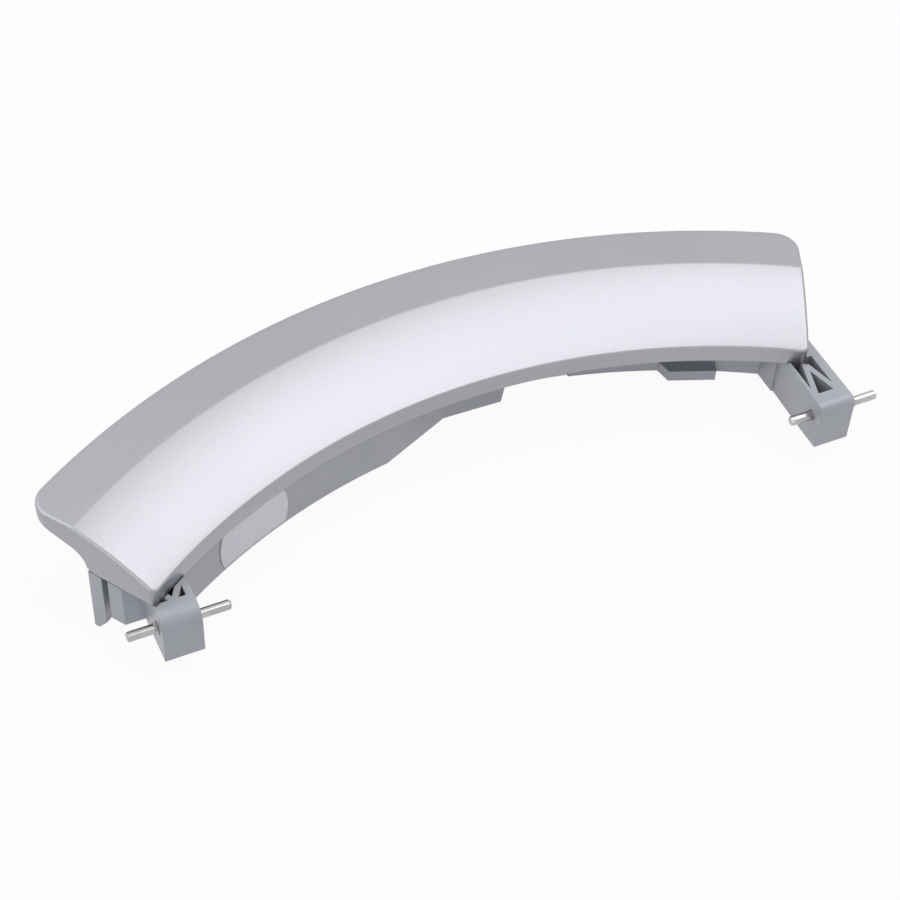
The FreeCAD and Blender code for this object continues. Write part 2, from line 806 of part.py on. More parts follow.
def export(parts):
    os.makedirs("parts", exist_ok=True)
    for part in parts:
        shape = part.Shape
        if shape.isNull() or not shape.isValid():
            raise RuntimeError("%s has no valid shape" % part.Label)
        shape.exportStep("parts/%s.step" % part.Label)
        print(part.Label, "solids", len(shape.Solids), "volume", round(shape.Volume, 1))


PARTS = [make_cover(), make_carrier(), make_pin("left"), make_pin("right"), make_label()]
document.recompute()
check_document()
export(PARTS)
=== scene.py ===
# %% [markdown]
# # The door handle of a washing machine
#
# The handle has five pieces: a silver cover, a grey carrier under it, two steel hinge pins and a paper
# label. The solid model fixes where each of them is. This script gives them their finished surfaces.
# It starts by bringing those solids in from model.glb at their places, in metres.

import math

import bmesh
import bpy
import numpy as np
from mathutils import Matrix, Vector


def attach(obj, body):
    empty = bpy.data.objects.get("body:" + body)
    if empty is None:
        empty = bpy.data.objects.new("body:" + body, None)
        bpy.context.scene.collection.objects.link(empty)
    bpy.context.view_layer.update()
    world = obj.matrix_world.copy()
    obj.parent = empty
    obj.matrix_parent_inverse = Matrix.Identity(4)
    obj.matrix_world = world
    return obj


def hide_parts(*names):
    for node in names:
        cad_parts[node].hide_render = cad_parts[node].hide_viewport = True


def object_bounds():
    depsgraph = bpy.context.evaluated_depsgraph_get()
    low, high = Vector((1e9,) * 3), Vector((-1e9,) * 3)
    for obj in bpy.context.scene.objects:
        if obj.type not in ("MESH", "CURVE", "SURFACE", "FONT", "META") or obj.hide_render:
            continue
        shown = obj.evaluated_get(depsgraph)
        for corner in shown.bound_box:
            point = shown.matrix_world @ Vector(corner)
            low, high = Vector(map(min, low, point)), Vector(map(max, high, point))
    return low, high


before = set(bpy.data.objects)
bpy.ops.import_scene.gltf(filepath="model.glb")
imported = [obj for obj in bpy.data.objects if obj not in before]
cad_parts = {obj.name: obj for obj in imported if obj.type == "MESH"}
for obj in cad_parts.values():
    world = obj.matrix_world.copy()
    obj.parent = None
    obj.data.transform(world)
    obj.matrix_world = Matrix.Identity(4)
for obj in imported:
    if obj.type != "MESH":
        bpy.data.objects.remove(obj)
SOLID_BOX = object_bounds()
MM = 0.001
DEGREE = math.pi / 180
print("nodes", sorted(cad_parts))

# %% [markdown]
# ## From numbers to a mesh
#
# Every new piece here is a surface worked out with numpy. A grid of places, two parameters wide, becomes a
# grid of quads. The quads are found by index arithmetic on whole arrays, which stays quick on large grids
# and keeps the formula of the shape apart from the bookkeeping.

# %% Grids of quads
def grid_quads(rows, columns, first=0, close_columns=False):
    """Quads of a grid whose place (i, j) has the index first + i * columns + j."""
    last_column = columns if close_columns else columns - 1
    i, j = np.meshgrid(np.arange(rows - 1), np.arange(last_column), indexing="ij")
    beside = (j + 1) % columns
    quads = np.stack([
        i * columns + j,
        i * columns + beside,
        (i + 1) * columns + beside,
        (i + 1) * columns + j,
    ], axis=-1)
    return quads.reshape(-1, 4) + first


def make_piece(name, places, faces, smooth_angle=30):
    """An object at the origin from places and faces. Edges sharper than the angle stay crisp."""
    mesh = bpy.data.meshes.new(name)
    mesh.from_pydata(places.tolist(), [], [list(face) for face in faces])
    mesh.validate()
    mesh.shade_smooth()
    mesh.set_sharp_from_angle(angle=smooth_angle * DEGREE)
    piece = bpy.data.objects.new(name, mesh)
    bpy.context.scene.collection.objects.link(piece)
    print(name, "has", len(mesh.polygons), "faces")
    return piece


# %% [markdown]
# ## The plan of the cover
#
# From above, the cover is a stretch of a ring. Its two ends are straight, and neither points exactly at the
# ring's centre. A grid over such a shape needs lines that cross it from rim to lip. Here each line has an
# angle and an offset from the centre, and both run evenly from one end to the other. So the first and last
# lines lie on the ends themselves, and the ones between fan out.

# %% The driving sizes of the cover
RIM_RADIUS = 193.2 * MM
CREASE_RADIUS = RIM_RADIUS + 28.0 * MM
LIP_RADIUS = CREASE_RADIUS + 16.7 * MM
SKIRT_RADIUS = LIP_RADIUS - 20.9 * MM
HINGE_ACROSS = -5.4 * MM
LEFT_ARM_ACROSS = HINGE_ACROSS - 106.8 * MM
RIGHT_ARM_ACROSS = HINGE_ACROSS + 104.8 * MM
HINGE_REACH = 5.9 * MM
CENTRE = np.array([
    -HINGE_ACROSS,
    HINGE_REACH - math.sqrt(RIM_RADIUS ** 2 - LEFT_ARM_ACROSS ** 2),
])
SEAM_LEVEL = 5.9 * MM
RIM_LEVEL = SEAM_LEVEL + 6.0 * MM
CREASE_LEVEL = RIM_LEVEL + 9.5 * MM
LIP_LEVEL = CREASE_LEVEL - 0.7 * MM
LEFT_TIP_BEYOND = 5.2 * MM
LEFT_SKEW = 4.0 * DEGREE
RIGHT_TIP_BEYOND = -0.2 * MM
RIGHT_SKEW = -6.7 * DEGREE
print("ring centre", np.round(CENTRE / MM, 2), "mm")


def end_of(tip_across, skew):
    """An end's angle and its offset from the centre. A skew of 0 would point it at the centre."""
    angle = math.asin(tip_across / RIM_RADIUS) + skew
    return angle, -RIM_RADIUS * math.sin(skew)


LEFT_END = end_of(LEFT_ARM_ACROSS - LEFT_TIP_BEYOND, LEFT_SKEW)
RIGHT_END = end_of(RIGHT_ARM_ACROSS + RIGHT_TIP_BEYOND, RIGHT_SKEW)
print("ends at", round(LEFT_END[0] / DEGREE, 2), "and", round(RIGHT_END[0] / DEGREE, 2), "degrees")

# %% [markdown]
# ## The height of the cover
#
# Across the ring, the cover's top is a crowned face that rises from the rim to a crease, and a nearly flat
# strip from the crease to the lip. A short curve joins them, because a painted moulding has no knife edge.
# Its underside is level at the seam, hollow inside, and hooks up under the lip to make the finger grip.

# %% Heights as functions of the radius
FACE_RADIUS = 92.0 * MM
CREASE_SOFT = 0.45 * MM
GRIP_RADIUS = 7.0 * MM
GRIP_SLOPE = 14.0 * DEGREE
SHELL = 2.2 * MM
GRIP_TOP_RADIUS = SKIRT_RADIUS + GRIP_RADIUS * (1 - math.sin(GRIP_SLOPE))
GRIP_TOP_LEVEL = SEAM_LEVEL + GRIP_RADIUS * math.cos(GRIP_SLOPE)


def face_height(radius):
    """The crowned face: an arc of FACE_RADIUS through the rim and the crease."""
    along = np.array([CREASE_RADIUS - RIM_RADIUS, CREASE_LEVEL - RIM_LEVEL])
    chord = np.linalg.norm(along)
    middle = np.array([CREASE_RADIUS + RIM_RADIUS, CREASE_LEVEL + RIM_LEVEL]) / 2
    drop = math.sqrt(FACE_RADIUS ** 2 - chord ** 2 / 4) / chord
    centre = middle + drop * np.array([along[1], -along[0]])
    return centre[1] + np.sqrt(FACE_RADIUS ** 2 - (radius - centre[0]) ** 2)


def strip_height(radius):
    """The outer strip: a straight line from the crease down to the lip."""
    share = (radius - CREASE_RADIUS) / (LIP_RADIUS - CREASE_RADIUS)
    return CREASE_LEVEL + share * (LIP_LEVEL - CREASE_LEVEL)


def top_height(radius):
    """Face and strip, joined over the crease by a parabola that starts and ends along them."""
    share = np.clip((radius - CREASE_RADIUS) / (2 * CREASE_SOFT) + 0.5, 0, 1)
    start = face_height(CREASE_RADIUS - CREASE_SOFT)
    end = strip_height(CREASE_RADIUS + CREASE_SOFT)
    curve = (1 - share) ** 2 * start + 2 * share * (1 - share) * CREASE_LEVEL + share ** 2 * end
    height = np.where(share <= 0, face_height(radius), curve)
    return np.where(share >= 1, strip_height(radius), height)


def grip_height(radius):
    """The finger grip: a quarter round that turns up from the skirt, then a slope out to the lip."""
    across = np.clip(1 - (radius - SKIRT_RADIUS) / GRIP_RADIUS, 0, 1)
    quarter = SEAM_LEVEL + GRIP_RADIUS * np.sqrt(1 - across ** 2)
    slope = GRIP_TOP_LEVEL + (radius - GRIP_TOP_RADIUS) * math.tan(GRIP_SLOPE)
    return np.where(radius < GRIP_TOP_RADIUS, quarter, slope)


crown = face_height((RIM_RADIUS + CREASE_RADIUS) / 2) - (RIM_LEVEL + CREASE_LEVEL) / 2
print("crown over its chord", np.round(crown / MM, 2), "mm")
print("lip thickness", np.round((LIP_LEVEL - grip_height(np.array(LIP_RADIUS))) / MM, 2), "mm")

# %% [markdown]
# ## Lines across the cover
#
# The corners at the lip and the tips at the rim are round. A crossing line that passes such a corner stops
# on the corner's circle, and not on the lip or the rim, so the grid's own edge follows the rounding. Lines
# stand closer together near the ends, because a circle that starts along a line turns away from it fast.

# %% The grid's edges in plan
CORNER_ROUND = 8.0 * MM
TIP_ROUND = 1.6 * MM
EDGE_ROUND = 1.0 * MM
STATIONS = 140
HAIR = 0.02 * MM


def edge_inset(slope):
    """How far inside a wall its rounded top edge starts, where the top falls by slope towards the wall.

    It is the tangent of a round of EDGE_ROUND seen from above. The round turns a right angle less the fall.
    """
    fall = np.arctan(slope)
    return EDGE_ROUND * np.tan((math.pi / 2 - fall) / 2) * np.cos(fall)


RIM_SLOPE = (face_height(RIM_RADIUS + HAIR) - face_height(RIM_RADIUS)) / HAIR
INSIDE_RIM = RIM_RADIUS + edge_inset(RIM_SLOPE)
INSIDE_LIP = LIP_RADIUS - edge_inset((CREASE_LEVEL - LIP_LEVEL) / (LIP_RADIUS - CREASE_RADIUS))
LEFT_OFFSET = LEFT_END[1] + EDGE_ROUND
RIGHT_OFFSET = RIGHT_END[1] - EDGE_ROUND
SPAN = (RIGHT_END[0] - LEFT_END[0]) * (RIM_RADIUS + LIP_RADIUS) / 2


def station_shares():
    """Places from 0 to 1 along the handle: a cosine spacing, with pairs of lines at the hollow's ends."""
    even = 0.5 - 0.5 * np.cos(np.linspace(0, math.pi, STATIONS))
    wall = (SHELL - EDGE_ROUND) / SPAN
    pair = np.array([wall, wall + HAIR / SPAN])
    return np.sort(np.concatenate([even, pair, 1 - pair]))


def crossing_lines(shares):
    """Offset, normal and direction of each crossing line. Angle and offset run evenly along the handle."""
    angle = LEFT_END[0] + (RIGHT_END[0] - LEFT_END[0]) * shares
    offset = LEFT_OFFSET + (RIGHT_OFFSET - LEFT_OFFSET) * shares
    normal = np.stack([np.cos(angle), -np.sin(angle)], axis=-1)
    along = np.stack([np.sin(angle), np.cos(angle)], axis=-1)
    return offset, normal, along


def round_centre(side, size, radius, outer):
    """Centre of a corner's circle, which touches an end and the lip or rim from inside the plan."""
    angle = (LEFT_END if side < 0 else RIGHT_END)[0]
    offset = (LEFT_OFFSET if side < 0 else RIGHT_OFFSET) - side * size
    reach = math.sqrt((radius - size if outer else radius + size) ** 2 - offset ** 2)
    return np.array([
        offset * math.cos(angle) + reach * math.sin(angle),
        reach * math.cos(angle) - offset * math.sin(angle),
    ])


def edge_reach(lines, radius, size, outer):
    """How far along each line the lip or rim lies, and the outward normal there.

    On the ring's circle the reach is the root of radius squared less offset squared. Beyond the place where
    a corner's circle touches it, the reach ends on that circle.
    """
    offset, normal, along = lines
    sign = 1 if outer else -1
    reach = np.sqrt(radius ** 2 - offset ** 2)
    place = normal * offset[:, None] + along * reach[:, None]
    outward = sign * place / radius
    for side in (-1, 1):
        centre = round_centre(side, size, radius, outer)
        touch = centre * radius / np.linalg.norm(centre)
        beyond = side * (offset - normal @ touch) > 0
        apart = np.clip(normal @ centre - offset, -size, size)
        on_round = along @ centre + sign * np.sqrt(size ** 2 - apart ** 2)
        round_place = normal * offset[:, None] + along * on_round[:, None]
        reach = np.where(beyond, on_round, reach)
        outward = np.where(beyond[:, None], (round_place - centre) / size, outward)
    return reach, outward


LINES = crossing_lines(station_shares())
RIM_REACH, RIM_NORMAL = edge_reach(LINES, INSIDE_RIM, TIP_ROUND - EDGE_ROUND / 2, outer=False)
LIP_REACH, LIP_NORMAL = edge_reach(LINES, INSIDE_LIP, CORNER_ROUND - EDGE_ROUND, outer=True)
print(len(LINES[0]), "lines cross the cover")

# %% [markdown]
# ## The plan as a grid
#
# Along each crossing line, the grid's places sit on circles round the centre, so that lines of the grid
# follow the crease and the grip. Only within a guard of the lip and the rim are the places squeezed, so
# that they end on the corner's circle.

# %% Places on every crossing line
GUARD = 1.2 * MM
HOLLOW_RIM = RIM_RADIUS + SHELL
HOLLOW_SKIRT = SKIRT_RADIUS - SHELL
FACE_CIRCLES = 13
GRIP_CIRCLES = 9
CREASE_CIRCLES = 5
STRIP_CIRCLES = 10


def circle_radii():
    """Radii of the grid's circles, close together where the section bends."""
    face = np.linspace(INSIDE_RIM, HOLLOW_SKIRT, FACE_CIRCLES)
    hollow = np.array([HOLLOW_RIM, HOLLOW_RIM + HAIR, HOLLOW_SKIRT - HAIR])
    turns = np.linspace(0, 90 - GRIP_SLOPE / DEGREE, GRIP_CIRCLES) * DEGREE
    grip = SKIRT_RADIUS + GRIP_RADIUS * (1 - np.cos(turns))
    crease = CREASE_RADIUS + CREASE_SOFT * np.linspace(-1, 1, CREASE_CIRCLES)
    strip = np.linspace(GRIP_TOP_RADIUS + GUARD, INSIDE_LIP, STRIP_CIRCLES)
    return np.sort(np.concatenate([face, hollow, grip, crease, strip]))


def plan_grid(lines, radii):
    """Places (station, circle) in plan: circles, squeezed near the lip and rim to end on the edge."""
    offset, normal, along = lines
    reach = np.sqrt(radii[None, :] ** 2 - offset[:, None] ** 2)
    lip_guard = np.sqrt((GRIP_TOP_RADIUS + GUARD) ** 2 - offset ** 2)[:, None]
    rim_guard = np.sqrt((HOLLOW_RIM + GUARD) ** 2 - offset ** 2)[:, None]
    lip_share = (LIP_REACH[:, None] - lip_guard) / (reach[:, -1:] - lip_guard)
    rim_share = (rim_guard - RIM_REACH[:, None]) / (rim_guard - reach[:, :1])
    reach = np.where(reach > lip_guard, lip_guard + (reach - lip_guard) * lip_share, reach)
    reach = np.where(reach < rim_guard, rim_guard - (rim_guard - reach) * rim_share, reach)
    return normal[:, None, :] * offset[:, None, None] + along[:, None, :] * reach[:, :, None]


PLAN = plan_grid(LINES, circle_radii())
print("plan grid", PLAN.shape[:2])

# %% [markdown]
# ## The walls of the cover
#
# The grid's outline is one closed loop: along the rim, up the right end, back along the lip and down the
# left end. Each of its places knows which way is out. Rings copied from that loop make the rounded top
# edge, the upright wall and the rounded lower edge, and they end on a second grid, the underside. A rounded
# edge is a conic between two tangents, which is a true circle when they are equally long.

# %% The outline as a loop
def outline(grid):
    """The border of a grid of values, as one loop that runs round it once."""
    return np.concatenate([grid[:-1, 0], grid[-1, :-1], grid[:0:-1, -1], grid[0, :0:-1]])


def outward_normals():
    """A grid of outward directions that is right on the border, where alone it is read."""
    count = PLAN.shape[1]
    share = np.linspace(0, 1, count)[None, :, None]
    normals = RIM_NORMAL[:, None, :] * (1 - share) + LIP_NORMAL[:, None, :] * share
    normals[0] = -LINES[1][0]
    normals[-1] = LINES[1][-1]
    return normals


LOOP = outline(PLAN)
LOOP_NORMAL = outline(outward_normals())
INDEX = outline(np.arange(PLAN.shape[0] * PLAN.shape[1]).reshape(PLAN.shape[:2]))
print("outline has", len(LOOP), "places")

# %% [markdown]
# Top and underside are heights over that plan. The underside has a hollow, which makes the cover a shell.
# Its ceiling lies one wall's thickness under the chord of the face, and it stops one wall short of the rim,
# the skirt and both ends.

# %% Heights over the plan
CHORD_SLOPE = (CREASE_LEVEL - RIM_LEVEL) / (CREASE_RADIUS - RIM_RADIUS)
HOLLOW_LINE = np.argmax(station_shares() > (SHELL - EDGE_ROUND) / SPAN + HAIR / SPAN / 2)


def top_at(plan):
    """The top's height at places in plan."""
    return top_height(np.linalg.norm(plan, axis=-1))


def under_at(plan):
    """The underside's height without the hollow: the grip beyond the skirt, and the seam elsewhere."""
    radius = np.linalg.norm(plan, axis=-1)
    return np.where(radius > SKIRT_RADIUS, grip_height(radius), SEAM_LEVEL)


def hollowed_under(plan):
    """The underside's height on the whole grid, with the hollow's ceiling where the hollow is."""
    radius = np.linalg.norm(plan, axis=-1)
    ceiling = RIM_LEVEL - SHELL + (radius - RIM_RADIUS) * CHORD_SLOPE
    inside = (radius > HOLLOW_RIM + HAIR / 2) & (radius < HOLLOW_SKIRT - HAIR / 2)
    from_end = np.minimum(np.arange(len(plan)), np.arange(len(plan))[::-1])
    inside &= (from_end >= HOLLOW_LINE)[:, None]
    return np.where(inside, ceiling, under_at(plan))


print("the hollow starts on line", HOLLOW_LINE, "from each end")

# %% [markdown]
# The lower edge is sharp where the cover meets the carrier and soft at the lip, where fingers pull.

# %% Rings round the cover
LOWER_ROUND = 0.35 * MM
LIP_LOWER_ROUND = 1.3 * MM
ROUND_STEPS = 6
STEEPEST = 0.6


def rounded_edge(base, inset, height, upper):
    """Rings from a surface to a wall: a conic whose tangents are the surface's slope and the upright.

    Its first place is inset from the wall, and its middle weight is the cosine of half the turn.
    """
    inner = base - LOOP_NORMAL * inset[:, None]
    start = height(inner)
    rise = start - height(inner - LOOP_NORMAL * HAIR)
    slope = np.clip(rise / HAIR, -STEEPEST, STEEPEST)
    knee = start + slope * inset
    sign = -1 if upper else 1
    end = knee + sign * inset * np.sqrt(1 + slope ** 2)
    turn = np.arccos(sign * slope / np.sqrt(1 + slope ** 2))
    weight = np.cos(turn / 2)
    rings = []
    for share in np.linspace(0, 1, ROUND_STEPS + 1):
        first, middle, last = (1 - share) ** 2, 2 * share * (1 - share) * weight, share ** 2
        whole = first + middle + last
        level = (first * start + middle * knee + last * end) / whole
        back = inset * first / whole
        plan = base - LOOP_NORMAL * back[:, None]
        rings.append(np.column_stack([plan, level]))
    return rings


def cover_rings():
    """All rings between the two grids, from the top's border down to the underside's."""
    radius = np.linalg.norm(LOOP, axis=-1)
    slope = (top_at(LOOP) - top_at(LOOP + LOOP_NORMAL * HAIR)) / HAIR
    inset = edge_inset(slope)
    wall = LOOP + LOOP_NORMAL * inset[:, None]
    at_lip = np.clip((radius - GRIP_TOP_RADIUS) / (INSIDE_LIP - GRIP_TOP_RADIUS), 0, 1) ** 2
    under_inset = LOWER_ROUND + at_lip * (LIP_LOWER_ROUND - LOWER_ROUND)
    upper = rounded_edge(wall, inset, top_at, upper=True)
    lower = rounded_edge(wall, under_inset, under_at, upper=False)
    return upper + lower[::-1]


RINGS = cover_rings()
print(len(RINGS), "rings between top and underside")

# %% [markdown]
# The two grids and the rings are stacked into one list of places. The first and last ring are the borders
# of the grids, so they are not stored twice, and the shell is closed.

# %% The cover
def stack_cover():
    """Top grid, rings and underside grid as one closed surface, in the frame's own place."""
    rows, columns = PLAN.shape[:2]
    count = rows * columns
    under_plan = PLAN.copy().reshape(-1, 2)
    under_plan[INDEX] = RINGS[-1][:, :2]
    under_plan = under_plan.reshape(PLAN.shape)
    top = np.dstack([PLAN, top_at(PLAN)]).reshape(-1, 3)
    under = np.dstack([under_plan, hollowed_under(under_plan)]).reshape(-1, 3)
    under[INDEX] = RINGS[-1]
    places = np.concatenate([top, under] + RINGS[1:-1])
    places[:, :2] += CENTRE
    loops = [INDEX]
    loops += [2 * count + number * len(INDEX) + np.arange(len(INDEX)) for number in range(len(RINGS) - 2)]
    loops.append(INDEX + count)
    band = np.array(loops)
    walls = grid_quads(len(loops), len(INDEX), close_columns=True)
    faces = np.concatenate([
        grid_quads(rows, columns)[:, ::-1],
        grid_quads(rows, columns, first=count),
        band.ravel()[walls][:, ::-1],
    ])
    return places, faces


def face_outwards(piece):
    """Turns all faces of a closed piece outwards."""
    work = bmesh.new()
    work.from_mesh(piece.data)
    bmesh.ops.recalc_face_normals(work, faces=work.faces)
    open_edges = sum(not edge.is_manifold for edge in work.edges)
    volume = work.calc_volume()
    work.to_mesh(piece.data)
    work.free()
    print(piece.name, "volume", round(volume / MM ** 3), "mm3, open edges", open_edges)


cover = make_piece("cover_shell", *stack_cover())
face_outwards(cover)
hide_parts("cover")
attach(cover, "root")

# %% [markdown]
# ## The carrier
#
# The carrier is a moulding with straight walls, ribs and cells. It could be built again from grids, but the
# solid has all of its form, so a merged copy of it is enough. Its triangles are loose, so places closer
# than a few thousandths of a millimetre become one. The copy still holds the normals of the loose
# triangles, which no longer fit, so it drops them.

# %% A copy of a solid with its doubles merged
MERGE_DISTANCE = 0.004 * MM
FLAT_ANGLE = 0.6 * DEGREE


def merged_copy(node, name):
    """The node's mesh as one connected mesh, with its flat faces joined."""
    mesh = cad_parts[node].data.copy()
    mesh.name = name
    work = bmesh.new()
    work.from_mesh(mesh)
    bmesh.ops.remove_doubles(work, verts=work.verts, dist=MERGE_DISTANCE)
    bmesh.ops.dissolve_limit(
        work, angle_limit=FLAT_ANGLE, verts=work.verts, edges=work.edges, delimit={"NORMAL"}
    )
    work.to_mesh(mesh)
    work.free()
    if mesh.has_custom_normals:
        mesh.attributes.remove(mesh.attributes["custom_normal"])
    mesh.materials.clear()
    piece = bpy.data.objects.new(name, mesh)
    bpy.context.scene.collection.objects.link(piece)
    print(name, "has", len(mesh.polygons), "faces after its flat ones were joined")
    return piece


# %% [markdown]
# Edges sharper than 25 degrees stay crisp. Where a flat face runs on into a round one, the normals that
# they share are weighted by area. So the flat face stays flat in the light, and only the narrow facets of
# the round one bend it.

# %% The carrier
SHARP_ANGLE = 25 * DEGREE
carrier = merged_copy("carrier", "carrier_moulding")
carrier.data.shade_smooth()
carrier.data.set_sharp_from_angle(angle=SHARP_ANGLE)
flat = carrier.modifiers.new("flat_faces", "WEIGHTED_NORMAL")
flat.keep_sharp = True
flat.weight = 100
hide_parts("carrier")
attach(carrier, "root")

# %% [markdown]
# ## The hinge pins
#
# Each pin is a ground steel rod with chamfered ends and a straight knurl where it is pressed into its arm.
# Its radius is a function of the place along it and the angle round it, which is all a surface of
# revolution with grooves needs.

# %% The radius of a pin
PIN_RADIUS = 1.5 * MM
PIN_LENGTH = 30.6 * MM
PIN_MIDDLE = 106.5 * MM
CHAMFER = 0.45 * MM
KNURL_RISE = 0.16 * MM
KNURL_DEPTH = 0.4 * MM
KNURL_OUTER = 7.3 * MM
GROOVES = 12
SAMPLES_A_GROOVE = 10
GROOVE_NARROWING = 1.4
KNURL_RUN_OUT = 0.12 * MM
ARM_HALF = 5.9 * MM


def knurl_span(side):
    """Where a pin's knurl starts and ends, counted from the pin's middle."""
    arm = LEFT_ARM_ACROSS - HINGE_ACROSS if side < 0 else RIGHT_ARM_ACROSS - HINGE_ACROSS
    inner = arm - side * ARM_HALF - side * PIN_MIDDLE
    return sorted([inner, side * KNURL_OUTER])


def pin_surface(side):
    """Places (along, around): a chamfered rod whose radius falls into vee grooves along the knurl.

    The radius is that of the rod or the crests, less a triangle wave round the axis that is cut off at 0,
    so that a crest stays round between two grooves.
    """
    half = PIN_LENGTH / 2
    start, end = knurl_span(side)
    along = np.array([-half, -half, -half + CHAMFER, start - HAIR, start + KNURL_RUN_OUT])
    along = np.concatenate([along, [end - KNURL_RUN_OUT, end + HAIR, half - CHAMFER, half, half]])
    body = np.array([0, PIN_RADIUS - CHAMFER, PIN_RADIUS, PIN_RADIUS, PIN_RADIUS + KNURL_RISE])
    body = np.concatenate([body, body[::-1]])
    knurled = np.zeros(len(along))
    knurled[4:6] = 1
    turn = np.linspace(0, 2 * math.pi, GROOVES * SAMPLES_A_GROOVE, endpoint=False)
    wave = np.abs((turn * GROOVES / (2 * math.pi)) % 1 - 0.5) * 2
    groove = KNURL_DEPTH * np.clip(1 - wave * GROOVE_NARROWING, 0, 1)
    radius = body[:, None] - knurled[:, None] * groove[None, :]
    middle = side * PIN_MIDDLE
    return np.dstack([
        np.repeat((along + middle)[:, None], len(turn), axis=1),
        radius * np.cos(turn),
        radius * np.sin(turn),
    ])


print("knurls", [np.round(np.array(knurl_span(side)) / MM, 2).tolist() for side in (-1, 1)], "mm")

# %% [markdown]
# The first and last row of a pin's grid lie on its axis. Each is merged into one place, which closes the
# end. Then the faces are turned outwards.

# %% The two pins
def make_pin(side, node):
    """The pin of a side, from its surface."""
    places = pin_surface(side)
    rows, columns = places.shape[:2]
    quads = grid_quads(rows, columns, close_columns=True)
    pin = make_piece("hinge_" + node, places.reshape(-1, 3), quads, smooth_angle=28)
    work = bmesh.new()
    work.from_mesh(pin.data)
    bmesh.ops.remove_doubles(work, verts=work.verts, dist=MERGE_DISTANCE)
    work.to_mesh(pin.data)
    work.free()
    face_outwards(pin)
    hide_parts(node)
    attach(pin, "root")
    return pin


pins = [make_pin(-1, "pin_left"), make_pin(1, "pin_right")]

# %% [markdown]
# ## The label
#
# A bare paper label is stuck on the inner wall near the left arm. It follows the wall's curve, and its
# short ends are arched. So it is a grid on a cylinder whose length changes with the height. The paper's
# thickness comes from a Solidify modifier.

# %% The label's sheet
WALL_RADIUS = RIM_RADIUS + 1.1 * MM
LABEL_TO_ARM = 17.3 * MM
LABEL_LENGTH = 25.0 * MM
LABEL_TOP = SEAM_LEVEL - 1.0 * MM
LABEL_HEIGHT = 14.1 * MM
LABEL_BULGE_RADIUS = 18.0 * MM
LABEL_SHEET = 0.15 * MM
LABEL_GRID = (49, 33)


def label_sheet():
    """Places (along, up) on the wall's cylinder: straight long sides, arched short ends."""
    up = np.linspace(-0.5, 0.5, LABEL_GRID[1]) * LABEL_HEIGHT
    sagitta = np.sqrt(LABEL_BULGE_RADIUS ** 2 - up ** 2)
    bulge = sagitta - math.sqrt(LABEL_BULGE_RADIUS ** 2 - LABEL_HEIGHT ** 2 / 4)
    half = LABEL_LENGTH / 2 + bulge
    along = np.linspace(-1, 1, LABEL_GRID[0])[:, None] * half[None, :]
    arm = math.asin((LEFT_ARM_ACROSS + ARM_HALF) / WALL_RADIUS)
    angle = arm + (LABEL_TO_ARM + LABEL_LENGTH / 2 + along) / WALL_RADIUS
    radius = WALL_RADIUS - LABEL_SHEET
    level = LABEL_TOP - LABEL_HEIGHT / 2 + up
    return np.dstack([
        CENTRE[0] + radius * np.sin(angle),
        CENTRE[1] + radius * np.cos(angle),
        np.repeat(level[None, :], LABEL_GRID[0], axis=0),
    ])


sheet = label_sheet()
label = make_piece("paper_label", sheet.reshape(-1, 3), grid_quads(*LABEL_GRID))
paper = label.modifiers.new("paper", "SOLIDIFY")
paper.thickness = LABEL_SHEET
paper.offset = -1
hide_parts("label")
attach(label, "root")
normal_y = label.data.polygons[0].normal.y
print("label faces", "the hinge" if normal_y < 0 else "the wall")

# %% [markdown]
# ## Writing shaders as arithmetic
#
# A material's pattern is a sum of noises and masks. Written as nodes by hand, each plus sign is three
# lines. The small class below wraps a socket, so that an expression such as 0.4 + 0.1 * noise adds its own
# Math nodes. It asks a node tree for them, which comes next.

# %% A value between nodes
class Value:
    """A number between nodes. Arithmetic on it adds Math nodes to its tree."""

    def __init__(self, tree, socket):
        self.tree = tree
        self.socket = socket

    def maths(self, operation, *terms):
        """One Math node on the terms."""
        node = self.tree.node("ShaderNodeMath", {"operation": operation}, dict(enumerate(terms)))
        return Value(self.tree, node.outputs[0])

    def __add__(self, other):
        return self.maths("ADD", self, other)

    def __sub__(self, other):
        return self.maths("SUBTRACT", self, other)

    def __rsub__(self, other):
        return self.maths("SUBTRACT", other, self)

    def __mul__(self, other):
        return self.maths("MULTIPLY", self, other)

    __radd__ = __add__
    __rmul__ = __mul__

    def between(self, low, high):
        """0 below low, 1 above high and smooth between them."""
        node = self.tree.node(
            "ShaderNodeMapRange",
            {"interpolation_type": "SMOOTHSTEP"},
            {"Value": self, "From Min": low, "From Max": high},
        )
        return Value(self.tree, node.outputs["Result"])


print("a Value can", [name for name, thing in vars(Value).items() if callable(thing)])

# %% [markdown]
# Every node comes from one method that takes its kind, its settings and its sockets. Settings come first,
# because some of them change which sockets a node has. Materials and the world are both such trees.

